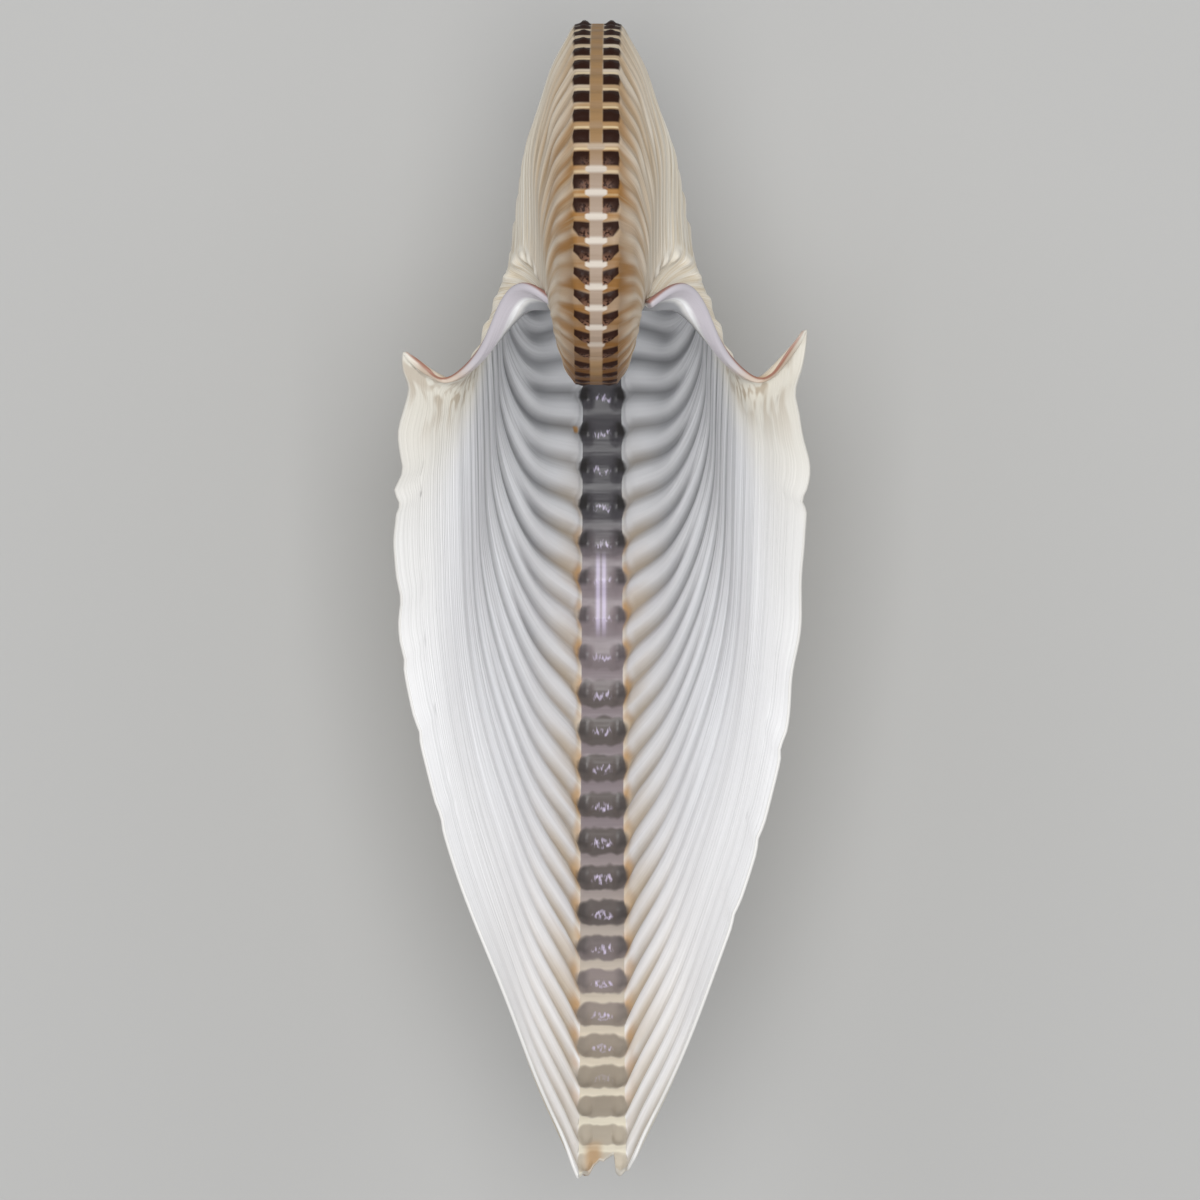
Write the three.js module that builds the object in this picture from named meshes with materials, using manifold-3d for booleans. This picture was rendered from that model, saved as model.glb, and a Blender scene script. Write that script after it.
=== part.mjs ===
import * as THREE from "three";
import { mergeVertices } from "three/addons/utils/BufferGeometryUtils.js";
import Module from "manifold-3d";

// The egg case of a paper nautilus: one thin ribbed wall of calcite, coiled in a flat spiral about
// the X axis. Its keel is a narrow band between two rows of tubercles. Each rib runs from a tubercle
// across the flank to the umbilicus. The lip rises to an ear on each side of the mouth, dips, and
// arches over the coil. Lengths are millimetres and angles are degrees. While it grows, the shell
// has its axis at the origin: angle 0 points along -Y, and angle 90 along +Z, out of the mouth. At
// the end it is tipped to lie mouth up on its keel, with the origin under its middle.

// Driving dimensions of the keel's spiral.
const lipRadius = 114.5;
const lipAngle = -6.2;
const growthPerTurn = 11.96;
const keelHalfWidth = 3.45;
const keelNarrowing = 3.9;

// The wall, its ribs, and what stands on it.
const wallThickness = 0.75;
const wallThinning = 12;
const rolledLip = 1.7;
const rolledLipAngle = 4;
const ribHeight = 0.5;
const ribsAtLip = 85;
const ribCrowding = 0.576;
const tubercleHeight = 1.3;
const tubercleHalfLength = 0.27;
const tubercleColumn = -0.25;
const beadHeight = 0.9;
const ribsPerBead = 4;

// The mouth: how far before the lip its flare and its ears die away, how much higher the right ear
// stands, and the chip in the end of the keel: its depth, its place and its half width, the last
// two as shares of the keel's half width.
const flareAngle = 10.9;
const earAngle = 8;
const earDifference = 1.6;
const chipAngle = 1.1;
const chipPlace = 0.35;
const chipHalfWidth = 0.55;

// The coil begins as a solid bud and is hollow from hollowAngle on. Its ribs are drawn finer in the
// turn that faces out of the mouth, and finest in the last half turn.
const budRadius = 4.7;
const budHalfWidth = 3.1;
const hollowAngle = -476;
const facingAngle = -366;
const fineAngle = -186;

// How far the finished shell is tipped, about X, to lie level on its keel.
const restPitch = 0.43;

// A growth line, from the keel's edge to its rest on the turn before. Radius and width are shares
// of the keel's radius, the width is counted from the keel's edge, and lead is how many degrees the
// point is ahead of the keel.
const growthLine = [
  { radius: 1.0, lead: 0, width: 0 },
  { radius: 0.88, lead: 1.4, width: 0.0566 },
  { radius: 0.76, lead: 2.4, width: 0.0938 },
  { radius: 0.64, lead: 0.9, width: 0.1263 },
  { radius: 0.52, lead: -2.4, width: 0.1445 },
  { radius: 0.4, lead: -4.7, width: 0.1464 },
  { radius: 0.29, lead: -8, width: 0.1472 },
  { radius: 0.22, lead: -12, width: 0.148 },
  { radius: 0.185, lead: -16, width: 0.1486 },
  { radius: 0.16, lead: -18.7, width: 0.1486 },
  { radius: 0.13, lead: -22, width: 0.14 },
  { radius: 0.105, lead: -26, width: 0.122 },
  { radius: 0.075, lead: -24, width: 0.098 },
  { radius: 0.048, lead: -5, width: 0.075 },
  { radius: 0.04, lead: 45, width: 0.05 },
  { radius: 0.045, lead: 96, width: 0.0199 },
];
const earColumn = 9;
const lastColumn = growthLine.length - 1;

// The finished lip at the same points. Up to the ear's root it is the growth line with a flare.
// From there on it is given by half width, height above the axis, and depth towards the mouth.
const lipFlare = [0, 0, 0.8, 1.86, 3.45, 5.33, 6.1, 6.1];
const lipAboveFlare = [
  { x: 25.3, y: -12.3, z: -7.2 },
  { x: 26.4, y: -5.2, z: -5.8 },
  { x: 23.4, y: -8.8, z: -6.3 },
  { x: 19.4, y: -10.7, z: -6.5 },
  { x: 15.3, y: -5.9, z: -4.2 },
  { x: 12.7, y: -0.6, z: -0.7 },
  { x: 10, y: 1.9, z: 2.9 },
  { x: 6.1, y: 0, z: 5.2 },
];

const growthRate = Math.log(growthPerTurn) / 360;

function keelRadius(angle) {
  return lipRadius * Math.exp(growthRate * (angle - lipAngle));
}

function keelWidth(radius) {
  return keelHalfWidth * (1 - Math.exp(-radius / keelNarrowing));
}

function ribAt(angle) {
  return ribsAtLip * Math.exp(growthRate * ribCrowding * (angle - lipAngle));
}

function angleOfRib(rib) {
  return lipAngle + Math.log(rib / ribsAtLip) / (growthRate * ribCrowding);
}

function polar(x, radius, angle) {
  const turn = THREE.MathUtils.degToRad(angle);
  return new THREE.Vector3(x, -radius * Math.cos(turn), radius * Math.sin(turn));
}

// CatmullRomCurve3 wants three like-sized numbers, so the lead is carried as a share of a turn.
const growthCurve = new THREE.CatmullRomCurve3(
  growthLine.map((point) => new THREE.Vector3(point.radius, point.lead / 360, point.width)),
);

// A point of the growth line before the mouth flares. Columns count along growthLine, and those
// from -1 to 0 cross half of the keel.
function plainPoint(angle, column) {
  const radius = keelRadius(angle);
  if (column <= 0) {
    return polar(keelWidth(radius) * (1 + column), radius, angle);
  }
  const at = growthCurve.getPoint(column / lastColumn);
  const ownAngle = angle + at.y * 360;
  const inward = THREE.MathUtils.smoothstep(column, earColumn, lastColumn);
  const keelBelow = keelWidth(keelRadius(ownAngle - 360));
  const fromKeel = THREE.MathUtils.lerp(keelWidth(radius), keelBelow, inward);
  return polar(fromKeel + at.z * radius, at.x * radius, ownAngle);
}

const flareCurve = new THREE.CatmullRomCurve3(
  growthLine.map((point, column) => {
    if (column < lipFlare.length) {
      return new THREE.Vector3(lipFlare[column], 0, 0);
    }
    const lip = lipAboveFlare[column - lipFlare.length];
    return new THREE.Vector3(lip.x, lip.y, lip.z).sub(plainPoint(lipAngle, column));
  }),
);

function wallPoint(angle, column, side) {
  const point = plainPoint(angle, column);
  const beforeLip = angle - lipAngle;
  if (column > 0) {
    const nearEar = THREE.MathUtils.smoothstep(column, earColumn - 2, earColumn);
    const reach = THREE.MathUtils.lerp(flareAngle, earAngle, nearEar);
    const share = Math.exp(beforeLip / reach);
    point.addScaledVector(flareCurve.getPoint(column / lastColumn), share);
    point.y += side * earDifference * share * Math.max(0, 1 - Math.abs(column - earColumn));
  }
  return point;
}

function outward(angle, column, side) {
  const along = wallPoint(angle + 1, column, side).sub(wallPoint(angle - 1, column, side));
  const next = wallPoint(angle, Math.min(column + 0.02, lastColumn), side);
  const across = next.sub(wallPoint(angle, Math.max(column - 0.02, -1), side));
  return across.cross(along).normalize();
}

function thicknessAt(angle, column) {
  const thickness = wallThickness * (1 - Math.exp(-keelRadius(angle) / wallThinning));
  const rolled = THREE.MathUtils.smoothstep(column, earColumn, earColumn + 2)
    * Math.exp((angle - lipAngle) / rolledLipAngle);
  return THREE.MathUtils.lerp(thickness, rolledLip, rolled);
}

function ribLift(angle, column) {
  const across = THREE.MathUtils.smoothstep(column, -0.1, 0.5)
    * (1 - 0.6 * THREE.MathUtils.smoothstep(column, 2, 6))
    * (1 - THREE.MathUtils.smoothstep(column, earColumn, earColumn + 2));
  const grown = Math.min(1, keelRadius(angle) / 60);
  return ribHeight * grown * across * Math.cos(2 * Math.PI * ribAt(angle));
}

// A tubercle stands on the keel's edge at each rib, and a bead on the shoulder at every few ribs.
function knobLift(angle, column) {
  const rib = ribAt(angle);
  const radius = keelRadius(angle);
  if (column === tubercleColumn && Math.abs(rib - Math.round(rib)) < 0.1) {
    return tubercleHeight * Math.min(1, 0.35 + radius / 50);
  }
  const bead = rib / ribsPerBead;
  if (column === earColumn && Math.abs(bead - Math.round(bead)) < 0.1) {
    return beadHeight * Math.min(1, radius / 40);
  }
  return 0;
}

function facePoint(angle, column, side, face) {
  const point = wallPoint(angle, column, side);
  const knob = face > 0 ? knobLift(angle, column) : 0;
  const lift = ribLift(angle, column) + face * thicknessAt(angle, column) / 2 + knob;
  point.addScaledVector(outward(angle, column, side), lift);
  point.x = column === -1 ? 0 : point.x * side;
  return point;
}

// How far the broken end of the keel stops short of the lip.
function chipAt(column, side) {
  const across = (side * (1 + column) - chipPlace) / chipHalfWidth;
  return chipAngle * Math.exp(-across * across);
}

// Each column is a line of points along the growth. Points come at the offsets in every so many
// ribs, so that a column may follow the crests and the grooves.
const between = [0.5];
const tubercleTop = [-tubercleHalfLength, 0, tubercleHalfLength];
const crestAndGroove = [0, 0.5];
const outerColumns = [
  { column: -1, every: 2, offsets: [0] },
  { column: -0.7, every: 1, offsets: between },
  { column: tubercleColumn, every: 1, offsets: tubercleTop },
  { column: 0.1, every: 1, offsets: between },
  ...[0.6, 1.3, 2.2, 3.3, 4.7, 6.4].map((column) => ({ column, every: 1, offsets: crestAndGroove })),
  { column: 8, every: 2, offsets: crestAndGroove },
  { column: earColumn, every: ribsPerBead, offsets: [-0.25, 0, 0.25, 0.5] },
  ...[10, 11, 12, 13, 14, 15].map((column) => ({ column, every: ribsPerBead, offsets: [0] })),
];
const innerColumns = [
  { column: -1, every: 3, offsets: [0] },
  ...[0, 1.1, 2.4, 4, 6].map((column) => ({ column, every: 1, offsets: crestAndGroove })),
  { column: 8, every: ribsPerBead, offsets: crestAndGroove },
  ...[9, 10, 11, 12, 13, 14, 15].map((column) => ({ column, every: ribsPerBead, offsets: [0] })),
];

const coarseEvery = 3;
const always = () => true;
const never = () => false;

function ribsSampled(entry, from, to, coarse) {
  const first = ribAt(from);
  const last = ribAt(to);
  const every = coarse ? coarseEvery : entry.every;
  const offsets = coarse ? [0] : entry.offsets;
  const ribs = [first];
  for (let rib = Math.floor(first / every) * every; rib < last + every; rib += every) {
    for (const offset of offsets) {
      const at = rib + offset * every;
      if (at > first + 0.2 && at < last - 0.2) {
        ribs.push(at);
      }
    }
  }
  ribs.push(last);
  return ribs;
}

function columnLine(entry, side, face, from, to, coarse) {
  return ribsSampled(entry, from, to, coarse).map((rib) => {
    const chip = rib === ribsAtLip ? chipAt(entry.column, side) : 0;
    return { at: rib, point: facePoint(angleOfRib(rib) - chip, entry.column, side, face) };
  });
}

// Joins two lines of points with triangles, each time taking the next point on the line that is
// further behind.
function stitch(triangles, left, right, turned = false) {
  let i = 0;
  let j = 0;
  while (i < left.length - 1 || j < right.length - 1) {
    const leftNext = i < left.length - 1 ? left[i + 1].at : Infinity;
    const rightNext = j < right.length - 1 ? right[j + 1].at : Infinity;
    const corner = leftNext <= rightNext ? left[i + 1] : right[j + 1];
    if (turned) {
      triangles.push(right[j].point, left[i].point, corner.point);
    } else {
      triangles.push(left[i].point, right[j].point, corner.point);
    }
    if (leftNext <= rightNext) {
      i += 1;
    } else {
      j += 1;
    }
  }
}

function faceLines(columns, face, from, to, coarseColumn) {
  const lineOf = (side) => (entry) => {
    const coarse = coarseColumn(entry.column);
    return columnLine(entry, side, face, from, to, coarse);
  };
  const right = columns.map(lineOf(1));
  const left = columns.slice(1).map(lineOf(-1));
  return [...left.reverse(), ...right];
}

function placesAcross(columns) {
  const right = columns.map((entry) => entry.column);
  const left = columns.slice(1).map((entry) => -2 - entry.column);
  return [...left.reverse(), ...right];
}

function section(lines, places, end) {
  return lines.map((line, i) => ({ at: places[i], point: line.at(end).point }));
}

// A length of the hollow wall, closed at both ends across the thickness of the wall.
function stretch(from, to, coarseOuter, coarseInner) {
  const triangles = [];
  const outer = faceLines(outerColumns, 1, from, to, coarseOuter);
  const inner = faceLines(innerColumns, -1, from, to, coarseInner);
  for (let i = 0; i < outer.length - 1; i += 1) {
    stitch(triangles, outer[i], outer[i + 1]);
  }
  for (let i = 0; i < inner.length - 1; i += 1) {
    stitch(triangles, inner[i], inner[i + 1], true);
  }
  stitch(triangles, outer.at(-1), inner.at(-1));
  stitch(triangles, outer[0], inner[0], true);
  const outerPlaces = placesAcross(outerColumns);
  const innerPlaces = placesAcross(innerColumns);
  stitch(triangles, section(outer, outerPlaces, 0), section(inner, innerPlaces, 0));
  stitch(triangles, section(outer, outerPlaces, -1), section(inner, innerPlaces, -1), true);
  return triangles;
}

function solidOf(wasm, soup) {
  soup.deleteAttribute("normal");
  soup.deleteAttribute("uv");
  const merged = mergeVertices(soup, 1e-5);
  const mesh = new wasm.Mesh({
    numProp: 3,
    vertProperties: new Float32Array(merged.attributes.position.array),
    triVerts: new Uint32Array(merged.index.array),
  });
  return new wasm.Manifold(mesh);
}

function soupOf(triangles) {
  const positions = triangles.flatMap((point) => [point.x, point.y, point.z]);
  const soup = new THREE.BufferGeometry();
  return soup.setAttribute("position", new THREE.Float32BufferAttribute(positions, 3));
}

// The first turns, too small to be hollow here: a button on the axis.
function bud() {
  const button = new THREE.SphereGeometry(1, 20, 10);
  button.rotateZ(Math.PI / 2);
  return button.scale(budHalfWidth, budRadius, budRadius);
}

const wasm = await Module();
wasm.setup();

const flankOnly = (column) => column > 1;
const early = solidOf(wasm, soupOf(stretch(hollowAngle, facingAngle, always, always)));
const middle = solidOf(wasm, soupOf(stretch(facingAngle, fineAngle, flankOnly, always)));
const late = solidOf(wasm, soupOf(stretch(fineAngle, lipAngle, never, never)));
const joined = solidOf(wasm, bud()).add(early).add(middle).add(late);

// Where one turn lies against the next, joining them leaves specks of next to no volume.
const bySize = (a, b) => b.volume() - a.volume();
const [whole] = joined.decompose().sort(bySize);
const { vertProperties, triVerts } = whole.getMesh();
const geometry = new THREE.BufferGeometry();
geometry.setAttribute("position", new THREE.BufferAttribute(vertProperties, 3));
geometry.setIndex(new THREE.BufferAttribute(triVerts, 1));
geometry.rotateX(THREE.MathUtils.degToRad(restPitch));
geometry.computeBoundingBox();
const { min, max } = geometry.boundingBox;
geometry.translate(-(min.x + max.x) / 2, -(min.y + max.y) / 2, -min.z);

const shell = new THREE.Mesh(
  geometry,
  new THREE.MeshStandardMaterial({ color: 0xe6dfcf, roughness: 0.35, metalness: 0 }),
);
shell.name = "shell";

const model = new THREE.Group();
model.add(shell);

export default model;
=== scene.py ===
import math

import bpy
import numpy as np
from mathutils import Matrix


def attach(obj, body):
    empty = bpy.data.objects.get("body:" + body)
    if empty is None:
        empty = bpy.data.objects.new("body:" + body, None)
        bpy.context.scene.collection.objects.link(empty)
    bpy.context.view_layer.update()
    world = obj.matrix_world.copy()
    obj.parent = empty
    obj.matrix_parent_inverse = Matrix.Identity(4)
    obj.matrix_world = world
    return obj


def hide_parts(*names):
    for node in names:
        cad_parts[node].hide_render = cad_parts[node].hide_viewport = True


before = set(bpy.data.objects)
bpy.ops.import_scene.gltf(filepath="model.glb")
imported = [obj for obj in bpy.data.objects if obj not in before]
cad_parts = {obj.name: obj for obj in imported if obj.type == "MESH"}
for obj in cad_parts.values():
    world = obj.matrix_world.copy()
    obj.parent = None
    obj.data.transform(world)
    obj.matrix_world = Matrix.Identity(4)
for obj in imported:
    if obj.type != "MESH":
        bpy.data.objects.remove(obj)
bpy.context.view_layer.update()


# The spiral
# A paper nautilus lays down its egg case along a spiral in one plane, and widens it as it grows.
# Each moment of growth leaves one growth line, which runs from the keel over the flank to the axis.

# Lengths here are millimetres and angles are degrees, as the shell stands while it grows: its axis
# lies along X through the origin, angle 0 points along -Y, and angle 90 along +Z, out of the mouth.
LIP_RADIUS = 114.5
LIP_ANGLE = -6.2
GROWTH_RATE = math.log(11.96) / 360
FIRST_ANGLE = -476.0
COIL_SMALLER = 0.045
COIL_ANGLES = (-200, -110)
COIL_KEEL = 2.7
KEEL_WIDENING = 0.65
WIDENING_RADII = (40, 105)
FLANK_START = 3.2
KEEL_NARROWING = 3.9
COIL_LEAN = -0.5
LIP_LEAN = 0.3
LEAN_RADII = (25, 65)

# A growth line from the keel's edge inwards: the radius as a share of the keel's, how many degrees
# the point runs ahead of the keel, and the width beyond the keel's as a share of its radius.
LINE_RADIUS = [
    1, 0.88, 0.76, 0.64, 0.52, 0.4, 0.29, 0.22,
    0.185, 0.16, 0.13, 0.102, 0.06, 0.014, 0.008, 0.01,
]
LINE_LEAD = [0, 1.4, 2.4, 0.9, -2.4, -4.7, -8, -12, -16, -18.7, -22, -26, -28, -10, 45, 96]
LINE_WIDTH = [
    0, 0.0566, 0.0938, 0.1263, 0.1445, 0.1464, 0.1472, 0.148,
    0.1486, 0.146, 0.136, 0.12, 0.0975, 0.0765, 0.05, 0.0199,
]
EAR_COLUMN = 9
LAST_COLUMN = len(LINE_RADIUS) - 1


def smoothstep(value, low, high):
    """0 below low, 1 above high, and 3t^2 - 2t^3 of the share t between them."""
    t = np.clip((value - low) / (high - low), 0, 1)
    return t * t * (3 - 2 * t)


def mix(a, b, share):
    """a where share is 0, b where it is 1, and their weighted mean between."""
    return a + (b - a) * share


def spline(values, at):
    """Natural cubic spline through evenly spaced values: each span is the straight line between its
    ends plus a cubic of the second derivatives, which one set of linear equations makes continuous."""
    values = np.asarray(values, float)
    last = len(values) - 1
    system = np.eye(last + 1)
    known = np.zeros(last + 1)
    inner = np.arange(1, last)
    system[inner, inner] = 4
    system[inner, inner - 1] = 1
    system[inner, inner + 1] = 1
    known[inner] = 6 * (values[2:] - 2 * values[1:-1] + values[:-2])
    bend = np.linalg.solve(system, known)
    span = np.clip(np.floor(at).astype(int), 0, last - 1)
    t = at - span
    rest = 1 - t
    line = rest * values[span] + t * values[span + 1]
    return line + ((rest**3 - rest) * bend[span] + (t**3 - t) * bend[span + 1]) / 6


def keel_radius(angle):
    """The spiral: the radius grows by the same factor in each degree, up to the lip's radius. The
    coil's is a few hundredths smaller, which the wall makes up smoothly behind it."""
    smaller = COIL_SMALLER * (1 - smoothstep(angle, *COIL_ANGLES))
    return LIP_RADIUS * np.exp(GROWTH_RATE * (angle - LIP_ANGLE)) * (1 - smaller)


def keel_width(radius):
    """Half the keel's width: it rises from 0 at the axis, is level on the coil, and widens once more
    in a smooth step towards the lip."""
    level = COIL_KEEL + KEEL_WIDENING * smoothstep(radius, *WIDENING_RADII)
    return level * (1 - np.exp(-radius / KEEL_NARROWING))


def plain_point(angle, place):
    """A point of the growth line at an angle. Places from -1 to 1 cross the keel, and beyond them the
    line is counted in steps of 1 to each side. Its radius and width are shares of the keel's radius."""
    radius = keel_radius(angle)
    column = np.maximum(np.abs(place) - 1, 0)
    own_angle = angle + spline(LINE_LEAD, column)
    own_radius = radius * spline(LINE_RADIUS, column)
    flank_start = FLANK_START * (1 - np.exp(-radius / KEEL_NARROWING))
    from_middle = mix(keel_width(radius), flank_start, smoothstep(column, 0, 1.5))
    inward = smoothstep(column, EAR_COLUMN, LAST_COLUMN)
    from_middle = mix(from_middle, keel_width(keel_radius(own_angle - 360)), inward)
    half = np.minimum(np.abs(place), 1) * from_middle + radius * spline(LINE_WIDTH, column)
    lean = mix(COIL_LEAN, LIP_LEAN, smoothstep(radius, *LEAN_RADII))
    turn = np.radians(own_angle)
    x = np.sign(place) * half + lean
    return np.stack([x, -own_radius * np.cos(turn), own_radius * np.sin(turn)], -1)


# The mouth
# The last part of the growth flares outwards. The shoulder of each side runs out into an ear, behind
# which the lip dips to a saddle and arches over the coil, where it is rolled thick and smooth. The
# lip is scalloped where ribs reach it, and its end on the keel is chipped.
FLARE_REACH = 10.9
EAR_REACH = 8.0
EAR_DIFFERENCE = (0.4, 1.55)
ARCH_REACH = 5.0
LIP_FLARE = [0, 0.1, 0.95, 2.1, 3.8, 6.3, 6.7, 6.3]
LIP_X = [26.0, 26.4, 22.8, 19.3, 15.9, 13.2, 10.3, 6.4]
LIP_Y = [-12.3, -6.3, -9.4, -9.5, -6.0, -0.5, 2.0, -0.1]
LIP_Z = [-7.2, -5.8, -6.3, -6.5, -4.2, -0.7, 2.9, 5.2]
EAR_TIP = 1.1
EAR_TIP_REACH = 0.22

# Each scallop: its column, its reach in columns, and how far it stands out, for the -X and +X lips.
SCALLOP_REACH = 4.5
SCALLOPS = (
    [
        (8.1, 0.2, -0.6), (7.6, 0.2, 0.6), (7.2, 0.12, -0.4), (6.95, 0.1, 0.45), (6.72, 0.1, -0.35),
        (6.1, 0.3, 0.3), (5.45, 0.16, -0.5), (4.9, 0.08, -0.3), (4.2, 0.08, -0.3), (3.4, 0.08, -0.25),
        (1.5, 0.9, -0.7),
    ],
    [
        (8.05, 0.2, -0.6), (7.25, 0.26, 0.8), (6.8, 0.12, -0.6), (6.3, 0.3, -0.2), (5.6, 0.5, -0.8),
        (4.75, 0.35, -0.9), (4.05, 0.08, -0.4), (3.2, 0.08, -0.3), (2.5, 0.08, -0.25),
    ],
)

# How many ribs' widths the lip falls short by, along the chips in the keel's end.
CHIP_PLACES = [
    -1.5, -1.25, -1.1, -0.98, -0.85, -0.55, -0.3, -0.1, 0.05,
    0.25, 0.45, 0.52, 0.7, 0.9, 1.15, 1.3, 1.6,
]
CHIP_DEPTHS = [
    -0.05, -0.22, -0.42, -0.5, -0.4, -0.12, 0.02, 0.2, 0.16,
    0.3, 0.42, 0.05, -0.08, -0.1, -0.32, -0.2, -0.02,
]


def lip_flare():
    """How far each whole step of the lip stands from the growth line without a flare: along X alone
    below the ear, and from there on the difference between the lip's own points and that line."""
    plain = plain_point(np.full(LAST_COLUMN + 1, LIP_ANGLE), np.arange(LAST_COLUMN + 1) + 1.0)
    flare = np.zeros_like(plain)
    below = len(LIP_FLARE)
    flare[:below, 0] = LIP_FLARE
    flare[below:] = np.stack([LIP_X, LIP_Y, LIP_Z], -1) - plain[below:]
    return flare


FLARE = lip_flare()


def scallops(place):
    """How far the lip's edge stands out: one bell curve about each scallop's column."""
    column = np.abs(place) - 1
    rows = [
        sum(height * np.exp(-((column - centre) / reach) ** 2) for centre, reach, height in side)
        for side in SCALLOPS
    ]
    return np.where(place < 0, rows[0], rows[1])


def wall_point(angle, place):
    """The middle of the wall: the plain point moved by the lip's flare, its scallops and the tips of
    the ears, each of which dies away exponentially behind the lip."""
    point = plain_point(angle, place)
    column = np.maximum(np.abs(place) - 1, 0)
    side = np.sign(place)
    reach = mix(FLARE_REACH, EAR_REACH, smoothstep(column, EAR_COLUMN - 2, EAR_COLUMN))
    reach = mix(reach, ARCH_REACH, smoothstep(column, EAR_COLUMN + 2, EAR_COLUMN + 4))
    share = np.exp((angle - LIP_ANGLE) / reach)
    edge = np.exp((angle - LIP_ANGLE) / SCALLOP_REACH)
    from_ear = np.abs(column - EAR_COLUMN)
    ear = np.maximum(0, 1 - from_ear)
    tip = EAR_TIP * np.exp(-from_ear / EAR_TIP_REACH) * edge
    point[..., 0] += side * (share * spline(FLARE[:, 0], column) + edge * scallops(place))
    point[..., 0] += share * EAR_DIFFERENCE[0] * ear
    point[..., 1] += share * (spline(FLARE[:, 1], column) + side * EAR_DIFFERENCE[1] * ear) + tip
    point[..., 2] += share * spline(FLARE[:, 2], column)
    return point


# The ribs, the tubercles, the keel's steps and the beads
# Ribs are folds of the wall: a ridge outside and a groove inside. One starts at each tubercle of the
# keel, and every other one dies out part of the way up the flank. Tubercles are hollow knobs in
# pairs, and between the two of a pair the keel is folded outwards, so its inside is a row of pits.
RIBS_AT_LIP = 85.0
RIB_CROWDING = 0.597
RIB_HEIGHT = 0.7
RIB_START = -0.2
RIB_HALF_WIDTHS = (0.2, 0.3)
RIB_SIZES = (1.15, 0.2)
SMOOTH_FLANK = 0.92
SMOOTH_FLANK_RIBS = (68, 82)
TUBERCLE_HEIGHT = 1.38
COIL_TUBERCLE = 0.35
COIL_TUBERCLE_RIBS = (43, 52)
TUBERCLE_PLACE = 0.65
TUBERCLE_LENGTH = 0.34
TUBERCLE_WIDTH = 0.36
TUBERCLE_SQUARENESS = 2.6
TUBERCLE_HOLLOW = 0.72
KEEL_FOLD = 0.22
KEEL_PIT = 0.45
KEEL_STEP_LENGTH = 0.27
KEEL_STEP_EDGE = (0.85, 1.1)
LOW_STEP_RIBS = (80, 84)
LOW_STEP = 0.4
BEAD_HEIGHT = 0.6
BEAD_LENGTH = 0.42
BEAD_WIDTH = 0.9
BEAD_COLUMN = EAR_COLUMN + 0.6
RIBS_PER_BEAD = 5

noise_source = np.random.default_rng(7)
RIB_REACH = noise_source.uniform(-0.4, 0.6, (2, 128))
RIB_STRENGTH = noise_source.uniform(0.75, 1.1, (2, 128))
RIB_SHIFT = noise_source.uniform(-0.07, 0.07, (2, 128))
SHORT_RIB_REACH = 1.7
LONG_RIB_REACH = 7.6


def rib_at(angle):
    """The number of the rib at an angle: ribs get further apart more slowly than the spiral grows."""
    return RIBS_AT_LIP * np.exp(GROWTH_RATE * RIB_CROWDING * (angle - LIP_ANGLE))


def angle_of(rib):
    """The angle at which a rib starts from the keel, the inverse of rib_at."""
    return LIP_ANGLE + np.log(rib / RIBS_AT_LIP) / (GROWTH_RATE * RIB_CROWDING)


def rib_fold(rib, place):
    """Height of the ribs, from 0 between them to 1 on a crest: a bell curve a little behind each whole
    number, wider on the flank, and ended at the rib's own reach. Side and number pick its values."""
    column = np.abs(place) - 1
    side = (place > 0).astype(int)
    start = RIB_START * smoothstep(column, -0.2, 0.4)
    nearest = np.round(rib - start).astype(int)
    reach = np.where(nearest % 2 == 1, SHORT_RIB_REACH, LONG_RIB_REACH) + RIB_REACH[side, nearest]
    shift = start + RIB_SHIFT[side, nearest] * smoothstep(column, 0.3, 2)
    half_width = mix(*RIB_HALF_WIDTHS, smoothstep(column, 0.5, 3))
    bell = np.exp(-((rib - nearest - shift) / half_width) ** 2)
    alive = smoothstep(column, -0.2, 0.2) * (1 - smoothstep(column, reach, reach + 1.4))
    return bell * alive * RIB_STRENGTH[side, nearest]


def rib_lift(rib, place, fold):
    """How far the folds move the wall: a share of the rib's height that shrinks up the flank to
    nothing at the ear's column, and shrinks once more on the flank near the chipped end."""
    column = np.abs(place) - 1
    size = mix(*RIB_SIZES, smoothstep(column, 0.8, 6.5))
    low_flank = smoothstep(rib, *SMOOTH_FLANK_RIBS) * smoothstep(column, 0.2, 1.8)
    size = size * (1 - SMOOTH_FLANK * low_flank)
    size = size * (1 - smoothstep(column, EAR_COLUMN - 3, EAR_COLUMN))
    level = smoothstep(column, -0.2, 0.4)
    return RIB_HEIGHT * size * (fold - 0.3 * level)


def knob(rib, place):
    """Height of the tubercles, from 0 to 1: a steep-sided, square-footed knob about each whole rib
    number on either edge of the keel."""
    along = np.abs(rib - np.round(rib)) / TUBERCLE_LENGTH
    across = np.abs(np.abs(place) - TUBERCLE_PLACE) / TUBERCLE_WIDTH
    far = (along**TUBERCLE_SQUARENESS + across**TUBERCLE_SQUARENESS) ** (1 / TUBERCLE_SQUARENESS)
    return 1 - smoothstep(far, 0.12, 1.05)


def keel_step(rib, place):
    """Height of the keel's folds between paired tubercles, from 0 to 1: a bell curve about each whole
    rib number, fading where the keel meets the flank and towards the chipped end."""
    bell = np.exp(-((rib - np.round(rib)) / KEEL_STEP_LENGTH) ** 2)
    inside_edge = 1 - smoothstep(np.abs(place), *KEEL_STEP_EDGE)
    return bell * inside_edge * mix(1, LOW_STEP, smoothstep(rib, *LOW_STEP_RIBS))


def bead(rib, place):
    """Height of the beads on the shoulder, from 0 to 1: a smooth round knob at every few ribs, the
    square of 1 less the squared shares of its length and width."""
    beads = rib / RIBS_PER_BEAD
    along = (beads - np.round(beads)) / BEAD_LENGTH
    across = (np.abs(place) - 1 - BEAD_COLUMN) / BEAD_WIDTH
    return np.clip(1 - along**2 - across**2, 0, 1) ** 2


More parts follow.
